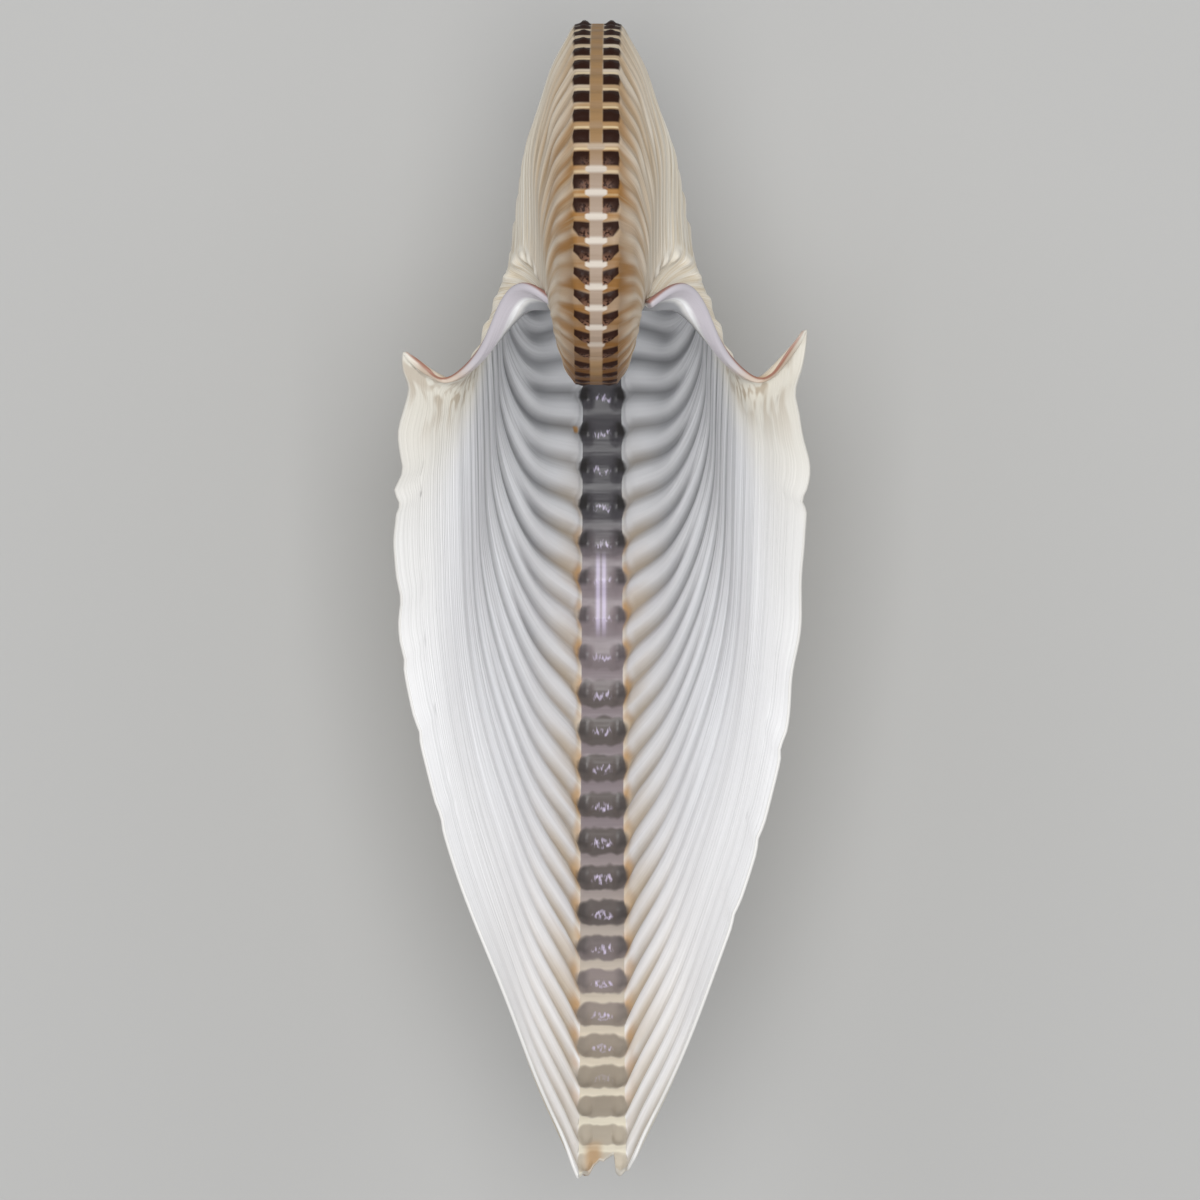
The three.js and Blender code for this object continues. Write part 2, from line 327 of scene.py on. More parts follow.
def unevenness(rib, place):
    """The slow bumps of something grown: four waves of unlike lengths along and across the growth."""
    waves = [(0.37, 0.6, 0.4), (0.83, -0.45, 2.1), (1.71, 0.3, 4.0), (0.21, 1.3, 5.2)]
    return sum(np.sin(along * rib + across * place + start) for along, across, start in waves) / len(waves)


# The wall's two faces
# The wall is one sheet of calcite, about as thin as card. It is drawn as a grid of points along the
# growth and across it, once for the outer face and once for the inner, joined by a rounded rim.
WALL = 0.5
YOUNG_RADIUS = 12
ROLLED_LIP = 1.2
ROLLED_REACH = 1.7
ROLLED_EDGE = 0.5
ROLLED_COLUMNS = (EAR_COLUMN + 0.6, EAR_COLUMN + 3)
FULL_RELIEF_RADIUS = 60
TUBERCLE_GROWTH = 50
SMALLEST_TUBERCLE = 0.35
UNEVEN_HEIGHT = 0.16
UNEVEN_FROM = (1, 2.5)
UNEVEN_TO = (8, 11)
SHOULDER_PLACE = 9
FLANK_SPREAD = 1.25
RIM_STEPS = 7
INNER_DETAIL = 38


def behind_lip(angle, place):
    """How far in millimetres each point lies behind the lip, in a straight line."""
    return np.linalg.norm(wall_point(angle, place) - wall_point(LIP_ANGLE, place), axis=-1)


def wall_thickness(angle, place, behind):
    """The wall's thickness, less by a falling exponential of the radius where the shell was young, and
    rolled up thick along the edge of the lip's arch."""
    column = np.abs(place) - 1
    thin = WALL * (1 - np.exp(-keel_radius(angle) / YOUNG_RADIUS))
    near_lip = 1 - smoothstep(behind, ROLLED_REACH - ROLLED_EDGE, ROLLED_REACH + ROLLED_EDGE)
    return mix(thin, ROLLED_LIP, smoothstep(column, *ROLLED_COLUMNS) * near_lip)


def unit(vectors):
    """Each vector divided by its length."""
    return vectors / np.maximum(np.linalg.norm(vectors, axis=-1, keepdims=True), 1e-9)


def normals_of(points):
    """The cross product of the steps to the next points across and along the grid, made unit."""
    return unit(np.cross(np.gradient(points, axis=1), np.gradient(points, axis=0)))


def places_across(keel_steps, flank_steps, shoulder_steps):
    """Places over the whole section, even on the keel and the shoulder, by a power of the step on the
    flank so that they start close beside the keel, and mirrored about the keel's middle."""
    keel = np.linspace(0, 1, keel_steps + 1)
    flank = 1 + (SHOULDER_PLACE - 1) * np.linspace(0, 1, flank_steps + 1)[1:] ** FLANK_SPREAD
    shoulder = np.linspace(SHOULDER_PLACE, LAST_COLUMN + 1, shoulder_steps + 1)[1:]
    half = np.concatenate([keel, flank, shoulder])
    return np.concatenate([-half[:0:-1], half])


def finer(values, parts):
    """The values with each step between two of them cut into equal parts."""
    at = np.arange((len(values) - 1) * parts + 1) / parts
    return np.interp(at, np.arange(len(values)), values)


def chipped(rib, place):
    """Draws the growth back by the chips' depths over the last rib and a half before the lip."""
    depth = np.interp(place, CHIP_PLACES, CHIP_DEPTHS)
    return rib - depth * smoothstep(rib, RIBS_AT_LIP - 1.5, RIBS_AT_LIP)


def face_grid(ribs, places, face):
    """One face of the wall: the wall's middle moved along its normal by the ribs' folds, by the
    tubercles, steps and beads, and by half the thickness towards the face."""
    rib, place = np.meshgrid(ribs, places, indexing="ij")
    rib = chipped(rib, place)
    angle = angle_of(rib)
    radius = keel_radius(angle)
    middle = wall_point(angle, place)
    grown = np.minimum(1, radius / FULL_RELIEF_RADIUS)
    small = np.minimum(1, SMALLEST_TUBERCLE + radius / TUBERCLE_GROWTH)
    fold = rib_fold(rib, place)
    lift = grown * rib_lift(rib, place, fold)
    uneven = smoothstep(np.abs(place), *UNEVEN_FROM) * (1 - smoothstep(np.abs(place), *UNEVEN_TO))
    lift += UNEVEN_HEIGHT * grown * unevenness(rib, place) * uneven
    knobs = mix(COIL_TUBERCLE, 1, smoothstep(rib, *COIL_TUBERCLE_RIBS))
    knobs *= TUBERCLE_HEIGHT * small * knob(rib, place)
    steps = small * keel_step(rib, place)
    if face > 0:
        lift += np.maximum(knobs, KEEL_FOLD * steps) + BEAD_HEIGHT * grown * bead(rib, place)
    else:
        lift += np.maximum(TUBERCLE_HOLLOW * knobs, KEEL_PIT * steps)
        lift *= smoothstep(rib, INNER_DETAIL, INNER_DETAIL + 2)
    behind = behind_lip(angle, place)
    lift += face * wall_thickness(angle, place, behind) / 2
    points = middle + normals_of(middle) * lift[..., None]
    return {"points": points, "rib": rib, "place": place, "fold": fold, "behind": behind}


def rim_grid(outer_face, inner_face):
    """Half circles from the outer face's last points to the inner face's, through the direction in
    which the wall was growing."""
    middle = (outer_face[-1] + inner_face[-1]) / 2
    across = (outer_face[-1] - inner_face[-1]) / 2
    growing = unit(middle - (outer_face[-2] + inner_face[-2]) / 2)
    square = growing - unit(across) * np.sum(growing * unit(across), -1, keepdims=True)
    forward = unit(square) * np.linalg.norm(across, axis=-1, keepdims=True)
    turn = np.linspace(0, math.pi, RIM_STEPS + 1)[1:-1, None, None]
    return middle + across * np.cos(turn) + forward * np.sin(turn)


FIRST_RIB = rib_at(FIRST_ANGLE)
LIP_STRIP = 1.5
LIP_ROWS = 11
LIP_PARTS = 4
LIP_SPREAD = 1.4
BODY_END = RIBS_AT_LIP - LIP_STRIP - 0.1
OUTER_RIBS = np.concatenate([
    np.arange(FIRST_RIB, 20, 1 / 4),
    np.arange(20, 45, 1 / 8),
    np.arange(45, BODY_END, 1 / 7),
])
INNER_RIBS = np.concatenate([
    np.arange(FIRST_RIB, INNER_DETAIL, 1.0),
    np.arange(INNER_DETAIL, BODY_END, 1 / 6),
])
LIP_RIBS = RIBS_AT_LIP - LIP_STRIP * np.linspace(1, 0, LIP_ROWS) ** LIP_SPREAD
PLACES = places_across(8, 26, 18)
LIP_PLACES = finer(PLACES, LIP_PARTS)

outer = face_grid(OUTER_RIBS, PLACES, 1)
inner = face_grid(INNER_RIBS, PLACES, -1)
outer_lip = face_grid(LIP_RIBS, LIP_PLACES, 1)
inner_lip = face_grid(LIP_RIBS, LIP_PLACES, -1)
rim = rim_grid(outer_lip["points"], inner_lip["points"])


def numbered(points, first):
    """The numbers of a grid's points, in the grid's own shape."""
    return first + np.arange(points[..., 0].size).reshape(points.shape[:2])


def grid_faces(ids):
    """The quads between the rows and columns of a grid of point numbers."""
    quad = np.stack([ids[:-1, :-1], ids[:-1, 1:], ids[1:, 1:], ids[1:, :-1]], -1)
    return quad.reshape(-1, 4)


def zipper(left, right, left_at, right_at):
    """Triangles between two lines of points, in the order of where their next points lie."""
    at = np.concatenate([left_at[1:], right_at[1:]])
    is_left = np.concatenate([np.ones(len(left) - 1, bool), np.zeros(len(right) - 1, bool)])
    is_left = is_left[np.argsort(at, kind="stable")]
    i = np.concatenate([[0], np.cumsum(is_left)])
    j = np.concatenate([[0], np.cumsum(~is_left)])
    third = np.where(is_left, left[i[1:]], right[j[1:]])
    return np.stack([left[i[:-1]], right[j[:-1]], third], -1)


grids = [outer["points"], inner["points"], outer_lip["points"], inner_lip["points"], rim]
firsts = np.cumsum([0] + [grid[..., 0].size for grid in grids])
outer_ids, inner_ids, outer_lip_ids, inner_lip_ids, rim_ids = map(numbered, grids, firsts)
outer_quads = np.concatenate([grid_faces(outer_ids), grid_faces(outer_lip_ids)])
inner_quads = np.concatenate([
    grid_faces(np.concatenate([outer_lip_ids[-1:], rim_ids, inner_lip_ids[-1:]])),
    grid_faces(inner_lip_ids)[:, ::-1],
    grid_faces(inner_ids)[:, ::-1],
])


def side_edge(side):
    """Closes one side edge of the wall: triangles from the outer face's last column to the inner
    face's and on over the end of the rim."""
    outer_line = np.concatenate([outer_ids[:, side], outer_lip_ids[:, side]])
    inner_line = np.concatenate([inner_ids[:, side], inner_lip_ids[:, side], rim_ids[::-1, side]])
    outer_at = np.concatenate([OUTER_RIBS, LIP_RIBS])
    inner_at = np.concatenate([INNER_RIBS, LIP_RIBS, RIBS_AT_LIP + np.arange(1, RIM_STEPS)])
    return zipper(outer_line, inner_line, outer_at, inner_at)


triangles = np.concatenate([
    zipper(outer_lip_ids[0], outer_ids[-1], LIP_PLACES, PLACES),
    zipper(inner_ids[-1], inner_lip_ids[0], PLACES, LIP_PLACES),
    zipper(outer_ids[0], inner_ids[0], PLACES, PLACES),
    side_edge(-1),
    side_edge(0)[:, ::-1],
])

REST_PITCH = math.radians(0.43)
AXIS_Y = 38.089
AXIS_Z = 71.174


def stood(points):
    """Tips the shell about X to lie level on its keel and lifts it to the floor, in metres."""
    x, y, z = np.moveaxis(points, -1, 0)
    c, s = math.cos(REST_PITCH), math.sin(REST_PITCH)
    return np.stack([x, y * c - z * s + AXIS_Y, y * s + z * c + AXIS_Z], -1) / 1000


def mesh_of(name, points, faces):
    """A smooth-shaded mesh object from one array of points and a list of arrays of faces."""
    mesh = bpy.data.meshes.new(name)
    sizes = np.concatenate([np.full(len(part), part.shape[1]) for part in faces])
    corners = np.concatenate([part.ravel() for part in faces])
    mesh.vertices.add(len(points))
    mesh.vertices.foreach_set("co", points.ravel())
    mesh.loops.add(len(corners))
    mesh.loops.foreach_set("vertex_index", corners)
    mesh.polygons.add(len(sizes))
    mesh.polygons.foreach_set("loop_start", np.concatenate([[0], np.cumsum(sizes)[:-1]]))
    mesh.polygons.foreach_set("use_smooth", np.ones(len(sizes), bool))
    mesh.update(calc_edges=True)
    mesh.validate()
    made = bpy.data.objects.new(name, mesh)
    bpy.context.collection.objects.link(made)
    return made


def attribute(piece, name, grids):
    """Stores one number for each point of the mesh, from one array for each grid in turn."""
    values = np.concatenate([grid.ravel() for grid in grids]).astype(np.float32)
    piece.data.attributes.new(name, "FLOAT", "POINT").data.foreach_set("value", values)


shell = mesh_of(
    "nautilus_shell",
    stood(np.concatenate([grid.reshape(-1, 3) for grid in grids])),
    [outer_quads, inner_quads, triangles],
)
inner_count = len(inner_quads) + len(triangles)
shell.data.polygons.foreach_set("material_index", np.repeat([0, 1], [len(outer_quads), inner_count]))
rim_share = np.linspace(0, 1, RIM_STEPS + 1)[1:-1, None]
faces = [outer, inner, outer_lip, inner_lip]
for name in ("rib", "place", "fold", "behind"):
    rim_values = mix(outer_lip[name][-1], inner_lip[name][-1], rim_share)
    attribute(shell, name, [face[name] for face in faces] + [rim_values])
edge_of_rim = np.ones(rim_share.shape) * np.ones(len(LIP_PLACES))
sides = [np.zeros(outer_ids.shape), np.ones(inner_ids.shape), np.zeros(outer_lip_ids.shape)]
attribute(shell, "inside", sides + [np.ones(inner_lip_ids.shape), rim_share * edge_of_rim])


# The calcite
# The wall is glossy calcite. Outside it is cream, with tan and brown stains along the coil's keel and
# dark brown tubercles. Inside it is bluish white with painted shade in its grooves, and dark pits run
# along the keel. Its colours were laid down with the wall, line by line, so every pattern follows the
# growth; painted light and shade are laid in along it too.

# The patterns are formulas of the rib number, the place across, the fold and the way to the lip. A
# pair of numbers gives where a colour starts and where it is full, in ribs, places or millimetres.
def linear(red, green, blue):
    """A colour of three numbers up to 255, each made linear: ((c + 0.055) / 1.055) to the power 2.4."""
    return tuple(((value / 255 + 0.055) / 1.055) ** 2.4 for value in (red, green, blue)) + (1.0,)


class Field:
    """A number or colour that varies over the surface: a node's output, with arithmetic on it."""

    def __init__(self, tree, socket):
        self.tree = tree
        self.socket = socket

    def maths(self, operation, *others):
        return node(self.tree, "ShaderNodeMath", enumerate((self, *others)), operation=operation)

    def __add__(self, other):
        return self.maths("ADD", other)

    def __sub__(self, other):
        return self.maths("SUBTRACT", other)

    def __mul__(self, other):
        return self.maths("MULTIPLY", other)

    def __truediv__(self, other):
        return self.maths("DIVIDE", other)

    def __abs__(self):
        return self.maths("ABSOLUTE")

    def step(self, low, high):
        """0 on the far side of low, 1 past high, and a smooth step between, in either direction."""
        inputs = {0: self, 1: low, 2: high}
        return node(self.tree, "ShaderNodeMapRange", inputs.items(), interpolation_type="SMOOTHSTEP")

    def between(self, low, high, soft):
        """1 from low to high and 0 outside them, with soft edges."""
        return self.step(low - soft, low + soft) * self.step(high + soft, high - soft)


def node(tree, kind, inputs, output=0, **settings):
    """Adds a node, gives it its settings, sets or links its numbered or named inputs, and returns one
    of its outputs as a field."""
    made = tree.nodes.new(kind)
    for name, value in settings.items():
        setattr(made, name, value)
    for key, value in inputs:
        if isinstance(value, Field):
            tree.links.new(value.socket, made.inputs[key])
        else:
            made.inputs[key].default_value = value
    return Field(tree, made.outputs[output])


def read(tree, name):
    """One of the piece's own numbers."""
    return node(tree, "ShaderNodeAttribute", (), 2, attribute_name=name)


def paint(under, over, share):
    """The colour over laid on the colour under where share is 1."""
    inputs = {0: share, 6: under, 7: over}
    return node(share.tree, "ShaderNodeMix", inputs.items(), 2, data_type="RGBA")


def growth_streaks_group():
    """A node group of streaks that follow the growth lines: noise stretched along them, over two
    numbers, so many to a rib and so many to a step across, cut off below Low and full above High."""
    group = bpy.data.node_groups.new("growth_streaks", "ShaderNodeTree")
    names = ("Rib", "Place", "Along", "Across", "Seed", "Low", "High")
    for name in names:
        group.interface.new_socket(name=name, in_out="INPUT", socket_type="NodeSocketFloat")
    group.interface.new_socket(name="Streaks", in_out="OUTPUT", socket_type="NodeSocketFloat")
    source = group.nodes.new("NodeGroupInput")
    rib, place, along, across, seed, low, high = (Field(group, source.outputs[name]) for name in names)
    spot = node(group, "ShaderNodeCombineXYZ", enumerate((rib * along, place * across, seed)))
    cloud = node(group, "ShaderNodeTexNoise", {"Vector": spot, "Scale": 1.0, "Detail": 1.0}.items())
    end = group.nodes.new("NodeGroupOutput")
    group.links.new(cloud.step(low, high).socket, end.inputs["Streaks"])
    return group


GROWTH_STREAKS = growth_streaks_group()


def streaks(rib, place, along, across, seed, low=0.38, high=0.62):
    """Streaks along the growth lines, from the group."""
    values = (rib, place, along, across, seed, low, high)
    return node(rib.tree, "ShaderNodeGroup", enumerate(values), node_tree=GROWTH_STREAKS)


CREAM = linear(226, 215, 194)
PALE_STREAK = linear(240, 236, 226)
COIL_CREAM = linear(186, 166, 138)
COIL_PALE = linear(214, 206, 192)
TAN = linear(148, 106, 56)
BROWN = linear(96, 62, 28)
EAR_BROWN = linear(172, 150, 120)
BLEMISH = linear(50, 34, 20)
COIL_RIBS = (48, 38)
STAINED_RIBS = (41, 33)
PALER_SIDE_RIBS = (34, 42, 3)
BROWN_RIBS = (34, 30)
BROWNEST_RIBS = (28, 23)
BLEMISH_RIB = 31.0
BLEMISH_PLACE = -6.9


def outside_colour(rib, place, fold, behind):
    """Cream with pale streaks, tan to brown by the coil's keel, less so on its paler side, and with
    whitish beads on the shoulder and one small dark blemish."""
    across = abs(place)
    near = rib - rib.maths("ROUND")
    coil = rib.step(*COIL_RIBS)
    wide = streaks(rib, place, 1.3, 0.2, 3.0)
    fine = streaks(rib, place, 5.5, 0.33, 19.0, 0.45, 0.68)
    pale = paint(PALE_STREAK, COIL_PALE, coil)
    colour = paint(paint(CREAM, COIL_CREAM, coil), pale, wide * 0.75)
    colour = paint(colour, pale, across.step(3.5, 7.5) * coil * 0.7)
    tan = across.step(7, 1.3) * coil * (rib.step(*STAINED_RIBS) * 0.58 + 0.4)
    pale_patch = place.step(1, 3) * rib.between(*PALER_SIDE_RIBS) * 0.75
    colour = paint(colour, TAN, tan * (wide * -0.45 + 1) * (pale_patch * -1 + 1))
    colour = paint(colour, EAR_BROWN, fine * 0.4)
    colour = paint(colour, pale, fold * across.between(1.5, 7, 0.5) * 0.5)
    brown = rib.step(*BROWN_RIBS) * 0.4 + rib.step(*BROWNEST_RIBS) * 0.35
    colour = paint(colour, BROWN, across.step(3.2, 1) * brown)
    # Tan just behind the arch's lip on the outer face: partly a stain, partly painted shadow.
    colour = paint(colour, TAN, behind.step(4, 0.4) * across.step(10.5, 12) * 0.9)
    colour = keel_colour(colour, rib, place, across, near)
    beads = rib / RIBS_PER_BEAD
    from_bead = abs(beads - beads.maths("ROUND"))
    on_bead = from_bead.step(0.4, 0.2) * across.between(9.2, 10.8, 0.5)
    colour = paint(colour, PALE_STREAK, on_bead * 0.6)
    blemish = abs(rib - BLEMISH_RIB).step(0.4, 0.2) * abs(place - BLEMISH_PLACE).step(0.34, 0.16)
    return paint(colour, BLEMISH, blemish * 0.8)


BAND_TAN = linear(146, 116, 80)
BAND_WHITE = linear(160, 148, 140)
LEDGE_HIGHLIGHT = linear(216, 198, 160)
TUBERCLE_BROWN = linear(38, 15, 3)
TUBERCLE_FOOT = linear(122, 88, 70)
OLD_TUBERCLE = linear(150, 120, 88)
BAND_EDGE = (0.36, 0.24)
BLOCK_EDGE = (0.26, 0.36)
PALE_BAND_RIBS = (25.8, 35, 1.2)
BARRED_RIBS = (26.5, 35.5, 1.5)
BROWN_BAND_RIBS = (25, 23)
SLANTED_RIBS = (34, 29)
SLANT = 0.3
CUT_CORNER = 1.3


def keel_colour(flank, rib, place, across, near):
    """The keel of the outer face, laid on the flank's colour: a pale band along its middle, with
    bright bars, and brown tubercles, slanted on the front of the coil, with a painted highlight along
    the ledge beside each and mottles at its foot."""
    pale_band = rib.between(*PALE_BAND_RIBS) * 0.6 + abs(near).step(0.2, 0.42) * 0.1
    band = paint(BAND_TAN, BAND_WHITE, pale_band)
    bars = rib.between(*BARRED_RIBS) * abs(near).step(0.28, 0.44)
    band = paint(band, PALE_STREAK, bars * 0.42)
    band = paint(band, BROWN, rib.step(*BROWN_BAND_RIBS) * 0.6)
    on_band = (across - bars * 0.22).step(*BAND_EDGE)
    slant = rib.step(*SLANTED_RIBS)
    slanted = near - (across - TUBERCLE_PLACE) * slant * SLANT
    corner = across + (slanted * -1).maths("MAXIMUM", 0.0) * slant * CUT_CORNER
    block = across.step(*BLOCK_EDGE) * corner.step(1.1, 0.98) * slanted.between(-0.36, 0.28, 0.06)
    colour = paint(flank, BROWN, across.between(0.3, 1.03, 0.06) * rib.step(29, 24) * 0.9)
    # Painted highlight: a cream line along one edge of each tubercle, where the edge would catch the
    # light.
    ledge_highlight = across.between(0.3, 1.02, 0.05) * near.between(0.34, 0.44, 0.04)
    colour = paint(colour, LEDGE_HIGHLIGHT, ledge_highlight * rib.step(31, 37) * 0.75)
    colour = paint(colour, band, on_band)
    foot = across.step(0.98, 0.4) * slanted.step(0.12, -0.25) * rib.step(36, 33)
    foot = foot * streaks(rib, place, 7.0, 6.0, 31.0, 0.36, 0.56)
    brown = paint(TUBERCLE_BROWN, TUBERCLE_FOOT, foot * 0.9)
    return paint(colour, paint(brown, OLD_TUBERCLE, rib.step(46, 84)), block)


DEEP_PAINTED_LIGHT = linear(247, 248, 250)
CLEAN_WHITE = linear(243, 244, 247)
LOW_PAINTED_LIGHT = linear(254, 254, 255)
GROOVE_SHADE_AND_STREAK_GREY = linear(138, 139, 142)
WARM_GLOW = linear(206, 186, 156)
IVORY = linear(228, 221, 202)
SHADED_LIP = linear(186, 184, 178)
SADDLE_TAN_AND_SHADE = linear(180, 152, 130)
UNDER_ARCH_SHADE = linear(150, 151, 155)
ROLLED_WHITE_AND_SHADE = linear(188, 183, 190)
HIGHLIGHT = linear(244, 245, 247)
RIM_PINK = linear(140, 86, 66)
WHITE_RIBS = (60, 77)
LOW_PAINTED_LIGHT_RIBS = (76, 83)
SMOOTH_RIBS = (68, 80)
SMOOTH_PLACES = (1.1, 2.2)
LIP_SHADE_BACK = (14, 3)
LIP_SHADE_PLACES = (4.8, 7.5)
ROLLED_BACK = (2.1, 1.7)
KEEL_SHADE = 1.07


def inside_colour(rib, place, fold, behind, inside):
    """White, painted a little whiter deep under the coil and at the low end as painted light, with painted
    shade in the grooves that fades low on the flanks, grey streaks, a warm glow beside the keel, a shaded
    lip, ivory ears with brown streaks and a tan saddle, both partly painted shade, painted shade under
    the arch, on the rim below the ears and over the keel's lit edge, and the rolled edge of the arch,
    greyed as painted shade, with a painted highlight and the brownish line along its rim."""
    across = abs(place)
    near = rib - rib.maths("ROUND")
    # Painted light: deep under the coil the white is painted a little whiter than further on, against the
    # coil's shadow.
    colour = paint(DEEP_PAINTED_LIGHT, CLEAN_WHITE, rib.step(*WHITE_RIBS))
    bands = streaks(rib, place, 1.5, 0.3, 41.0)
    colour = paint(colour, CLEAN_WHITE, bands * 0.45)
    # Painted light: the low end is painted almost pure white against the shade on its steep walls.
    colour = paint(colour, LOW_PAINTED_LIGHT, rib.step(*LOW_PAINTED_LIGHT_RIBS) * 0.9)
    low = rib.step(*SMOOTH_RIBS) * across.step(*SMOOTH_PLACES)
    # Painted shade: grey in the grooves, fading low on the flanks and gone on the ears.
    colour = paint(colour, GROOVE_SHADE_AND_STREAK_GREY, fold * (low * -0.94 + 1) * across.step(9.5, 8) * 0.9)
    fine = streaks(rib, place, 5.5, 0.25, 43.0, 0.45, 0.62) * across.between(3.8, 9.8, 1.0)
    colour = paint(colour, GROOVE_SHADE_AND_STREAK_GREY, fine * (rib.step(84, 74) * 0.22 + 0.08))
    colour = paint(colour, WARM_GLOW, fold * across.step(2.6, 1.2) * rib.step(62, 68) * 0.55)
    colour = paint(colour, WARM_GLOW, across.step(2.0, 1.1) * rib.between(66, 83, 3) * bands * 0.5)
    colour = paint(colour, IVORY, across.between(8.2, 12.4, 1.2) * 0.8)
    # Brown streaks on the ears, laid on strongly: partly their stain, partly painted shade.
    brown = streaks(rib, place, 1.1, 1.2, 53.0, 0.45, 0.62) * across.between(8.8, 12.3, 0.6)
    colour = paint(colour, EAR_BROWN, brown * 0.75)
    lip_shade = behind.step(*LIP_SHADE_BACK) * across.step(*LIP_SHADE_PLACES)
    colour = paint(colour, SHADED_LIP, lip_shade * 0.5)
    # Tan at the saddle: partly a stain, partly painted shade.
    colour = paint(colour, SADDLE_TAN_AND_SHADE, behind.step(3, 0.2) * across.between(10.6, 12.6, 0.5) * 0.6)
    rolled = across.step(11.8, 13) * behind.step(*ROLLED_BACK)
    # Painted shade on the arch's wall beyond its rolled edge, where it turns in under the arch.
    colour = paint(colour, UNDER_ARCH_SHADE, across.step(12, 13.2) * behind.step(1.9, 2.8))
    # The rolled edge is its own white-lavender, greyed as painted shade.
    colour = paint(colour, ROLLED_WHITE_AND_SHADE, rolled)
    colour = paint(colour, HIGHLIGHT, rolled * behind.step(1.0, 1.7))
    # Painted shade over the keel's lit edge beside the pits: grey on the coil, warmer further on.
    keel_edge_shade = paint(GROOVE_SHADE_AND_STREAK_GREY, WARM_GLOW, rib.step(64, 72))
    colour = paint(colour, keel_edge_shade, across.between(0.9, 1.12, 0.06) * rib.step(82, 76) * 0.6)
    colour = pits_colour(colour, rib, place, across * KEEL_SHADE, near)
    # Painted shade along the rim everywhere below the ears.
    rim_shade = inside.between(0.02, 0.98, 0.02) * across.step(10.6, 9.6)
    colour = paint(colour, SHADED_LIP, rim_shade * 0.6)
    edge = inside.between(0.05, 0.42, 0.12) * across.step(9.6, 10.6)
    return paint(colour, RIM_PINK, edge * 0.85)


SLATE = linear(66, 64, 68)
NEAR_BLACK = linear(24, 20, 18)
MAUVE = linear(134, 124, 128)
DARK_TAUPE = linear(96, 89, 87)
OLIVE_GREY = linear(154, 144, 130)
CREAM_BAR = linear(216, 206, 188)
ORANGE_BROWN = linear(178, 132, 70)
VIOLET_HIGHLIGHT = linear(206, 196, 222)
MAUVE_RIBS = (66, 68)
CREAM_BAR_RIBS = (74, 82)
TAUPE_RIBS = (70.5, 78, 1.0)
OLIVE_RIBS = (77, 82)
PALE_PIT_RIBS = (82.5, 85)
PIT_LENGTH = 0.36
PIT_WIDTH = 1.08
GLINT_PLACE = -0.05
GLINT_RIBS = (67.4, 69.3, 0.3)
STAIN_PLACE = -0.35
STAIN_RIBS = (84.0, 84.5)
SPOT_PLACE = -1.12
SPOT_RIB = 63.9


def pits_colour(flank, rib, place, across, near):
    """The row of pits along the inside of the keel, laid on the flank's colour: slate with near black
    corners deep inside, then taupe ovals between pale bars, with painted highlights in violet-white
    scribbles and a long violet glint, an orange glow at their corners, and a stain at the chipped end."""
    bar = paint(SLATE, MAUVE, rib.step(*MAUVE_RIBS))
    bar = paint(bar, CREAM_BAR, rib.step(*CREAM_BAR_RIBS))
    bar = paint(bar, IVORY, rib.step(81, 84))
    colour = paint(flank, bar, across.step(1.06, 0.96))
    glow = across.between(0.98, 1.22, 0.12) * abs(near + 0.08).step(0.5, 0.2)
    glow = glow * streaks(rib, place, 1.3, 2.0, 59.0, 0.3, 0.6)
    colour = paint(colour, ORANGE_BROWN, glow * rib.step(65, 68) * rib.step(85, 81) * 0.75)
    wavy = near + streaks(rib, place, 1.5, 1.8, 57.0, 0.2, 0.8) * 0.12 - 0.04
    sides = (abs(wavy) / PIT_LENGTH).maths("POWER", 3) + (across / PIT_WIDTH).maths("POWER", 6)
    pit = sides.step(1.5, 0.6)
    pit_colour = paint(SLATE, MAUVE, rib.step(66, 68.5))
    pit_colour = paint(pit_colour, DARK_TAUPE, rib.between(*TAUPE_RIBS))
    pit_colour = paint(pit_colour, OLIVE_GREY, rib.step(*OLIVE_RIBS))
    pit_colour = paint(pit_colour, CREAM_BAR, rib.step(*PALE_PIT_RIBS) * 0.6)
    colour = paint(colour, pit_colour, pit)
    dark = across.step(0.45, 0.85) * near.between(-0.36, 0.08, 0.1) * pit
    colour = paint(colour, NEAR_BLACK, dark * (rib.step(72, 65) * 0.4 + 0.45) * rib.step(82.5, 78))
    # Painted highlights: violet-white strokes and rings in the pits, then a long violet glint.
    wave = streaks(rib, place, 1.1, 5.0, 61.0, 0.2, 0.8) * 0.22 - 0.1
    highlight_strokes = abs(near - wave).step(0.1, 0.01) * across.step(0.5, 0.3)
    highlight_ring = abs(abs(near - 0.02) + across * 0.25 - 0.12).step(0.07, 0.01) * across.step(0.55, 0.4)
    broken = streaks(rib, place, 4.0, 7.0, 83.0, 0.4, 0.62)
    highlight_strokes = (highlight_strokes + highlight_ring * rib.step(72, 75) * 0.6) * broken
    colour = paint(colour, VIOLET_HIGHLIGHT, highlight_strokes * rib.step(83, 80) * 0.75)
    from_glint = abs(place - GLINT_PLACE)
    glint = (abs(from_glint - 0.13).step(0.12, 0.04) + 0.3) * from_glint.step(0.32, 0.24)
    colour = paint(colour, VIOLET_HIGHLIGHT, glint * rib.between(*GLINT_RIBS) * 0.55)
    stain = abs(place - STAIN_PLACE).step(0.5, 0.1) * rib.step(*STAIN_RIBS)
    spot = abs(place - SPOT_PLACE).step(0.1, 0.03) * abs(rib - SPOT_RIB).step(0.14, 0.04)
    return paint(colour, ORANGE_BROWN, stain * 0.6 + spot * 0.9)


GROWTH_LINE_DEPTH = 0.0001
GROWTH_LINE_STRENGTH = 0.3
COAT_SHARE = 0.2
COAT_ROUGHNESS = 0.15


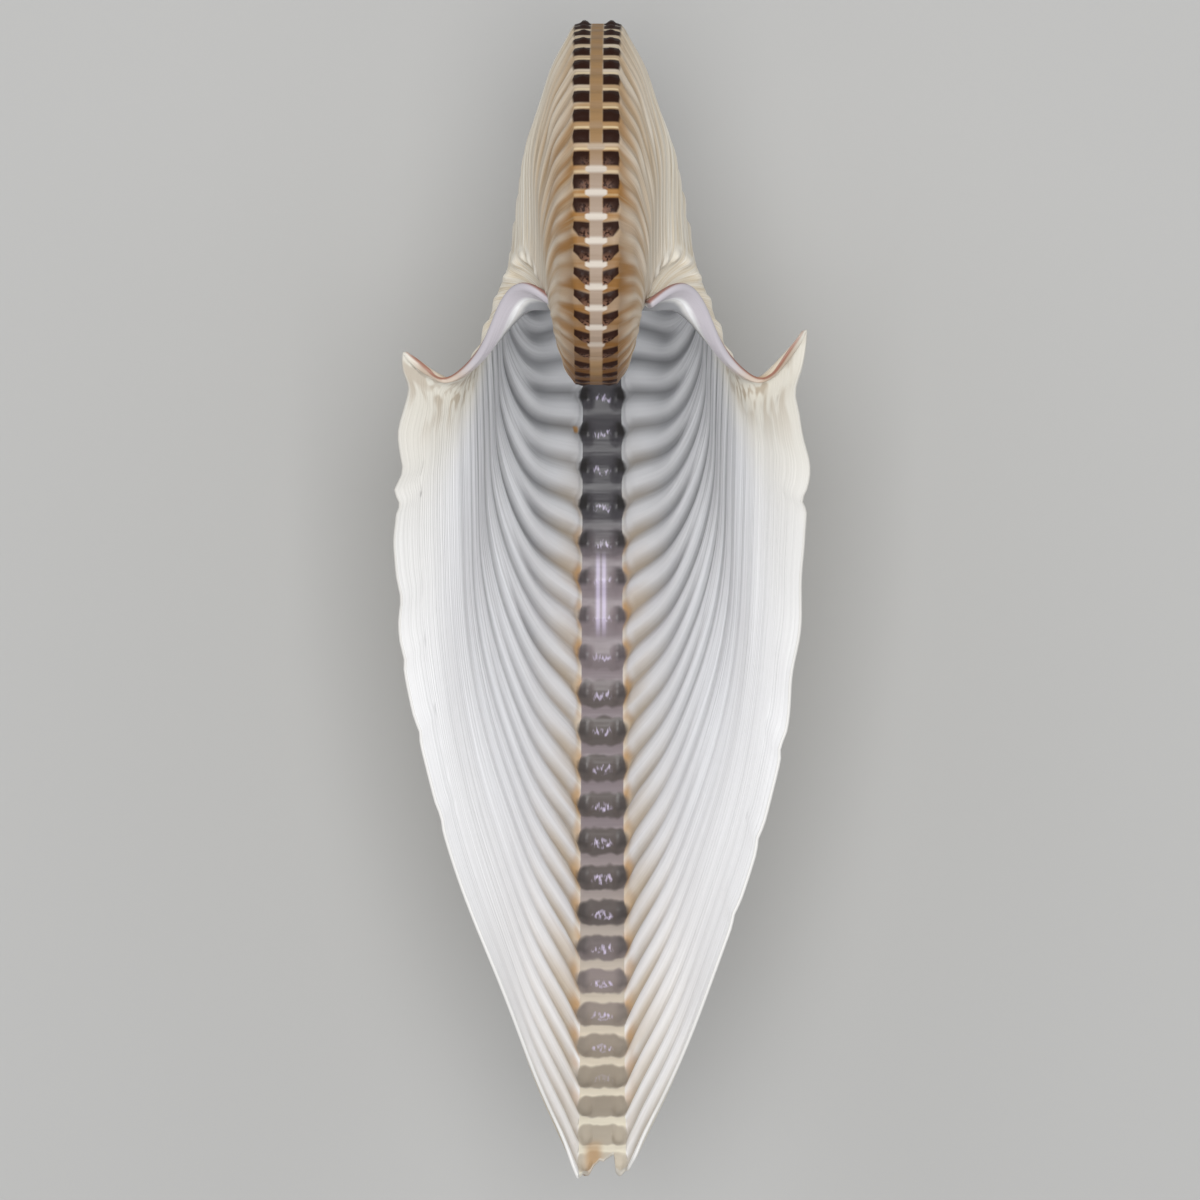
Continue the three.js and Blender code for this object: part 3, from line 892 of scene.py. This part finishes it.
def calcite(name, face_colour, numbers, roughness, gloss):
    """One face's material: its own colours over a glossy body, with fine growth lines in relief. The
    numbers are the names of what the colours are worked out from."""
    material = bpy.data.materials.new(name)
    material.use_nodes = True
    tree = material.node_tree
    body = tree.nodes["Principled BSDF"]
    rib = read(tree, "rib")
    place = read(tree, "place")
    colour = face_colour(rib, place, *(read(tree, each) for each in numbers))
    tree.links.new(colour.socket, body.inputs["Base Color"])
    lines = streaks(rib, place, 6.5, 0.4, 67.0, 0.3, 0.7)
    tree.links.new((lines * 0.08 + roughness).socket, body.inputs["Roughness"])
    relief = {"Strength": GROWTH_LINE_STRENGTH, "Distance": GROWTH_LINE_DEPTH, "Height": lines}
    bump = node(tree, "ShaderNodeBump", relief.items())
    tree.links.new(bump.socket, body.inputs["Normal"])
    body.inputs["Specular IOR Level"].default_value = gloss
    body.inputs["Coat Weight"].default_value = gloss * COAT_SHARE
    body.inputs["Coat Roughness"].default_value = COAT_ROUGHNESS
    return material


outer_calcite = calcite("outer_calcite", outside_colour, ("fold", "behind"), 0.5, 0.15)
inner_calcite = calcite("inner_calcite", inside_colour, ("fold", "behind", "inside"), 0.38, 0.35)
shell.data.materials.append(outer_calcite)
shell.data.materials.append(inner_calcite)
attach(shell, "root")
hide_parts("shell")


# The floor
# A plain pale studio floor under the shell, with a soft matt finish. The shell lies loose on it, on
# two pairs of its tubercles.
FLOOR_SIZE = 4
FLOOR_GREY = (0.42, 0.42, 0.415, 1)
FLOOR_ROUGHNESS = 0.8

bpy.ops.mesh.primitive_plane_add(size=FLOOR_SIZE)
floor = bpy.context.object
floor.name = "floor"
floor_finish = bpy.data.materials.new("pale_floor")
floor_finish.use_nodes = True
floor_body = floor_finish.node_tree.nodes["Principled BSDF"]
floor_body.inputs["Base Color"].default_value = FLOOR_GREY
floor_body.inputs["Roughness"].default_value = FLOOR_ROUGHNESS
floor.data.materials.append(floor_finish)


# The light and the camera
# A soft box nearly overhead, weaker ones at both sides and in front, and a long lens that looks down
# into the mouth from above the coil's axis.
LIT_POINT = (0, 0, 0.04)
WORLD_WHITE = (0.94, 0.94, 0.94, 1)
WORLD_STRENGTH = 0.43


def soft_box(name, place, aim, size, power):
    """A square area light at place, turned towards aim."""
    light = bpy.data.lights.new(name, "AREA")
    light.size = size
    light.energy = power
    box = bpy.data.objects.new(name, light)
    box.location = place
    direction = np.subtract(aim, place)
    box.rotation_euler = (
        math.atan2(math.hypot(direction[0], direction[1]), -direction[2]),
        0,
        math.atan2(-direction[0], direction[1]),
    )
    bpy.context.collection.objects.link(box)


soft_box("overhead", (0.0, 0.05, 1.25), LIT_POINT, 0.6, 10.5)
soft_box("left", (-0.7, 0.6, 0.85), LIT_POINT, 0.7, 2.2)
soft_box("right", (0.75, 0.5, 0.75), LIT_POINT, 0.7, 1.7)
soft_box("front", (0.05, -0.9, 0.6), LIT_POINT, 0.6, 1)

world = bpy.data.worlds.new("studio")
bpy.context.scene.world = world
world.use_nodes = True
world.node_tree.nodes["Background"].inputs["Color"].default_value = WORLD_WHITE
world.node_tree.nodes["Background"].inputs["Strength"].default_value = WORLD_STRENGTH

PHOTO_WIDTH = 156.0
CAMERA_HEIGHT = 910.0
LOOK_BELOW_AXIS = 38.6
FILM_WIDTH = 36
camera_data = bpy.data.cameras.new("camera")
camera_data.sensor_width = FILM_WIDTH
camera_data.lens = FILM_WIDTH * CAMERA_HEIGHT / PHOTO_WIDTH
camera_data.clip_start = 0.05
camera_data.clip_end = 20
camera = bpy.data.objects.new("camera", camera_data)
bpy.context.collection.objects.link(camera)
camera.location = stood(np.array([0, 0, CAMERA_HEIGHT]))
camera.rotation_euler = (REST_PITCH - math.atan2(LOOK_BELOW_AXIS, CAMERA_HEIGHT), 0, 0)
bpy.context.scene.camera = camera
bpy.context.scene.view_settings.view_transform = "Standard"
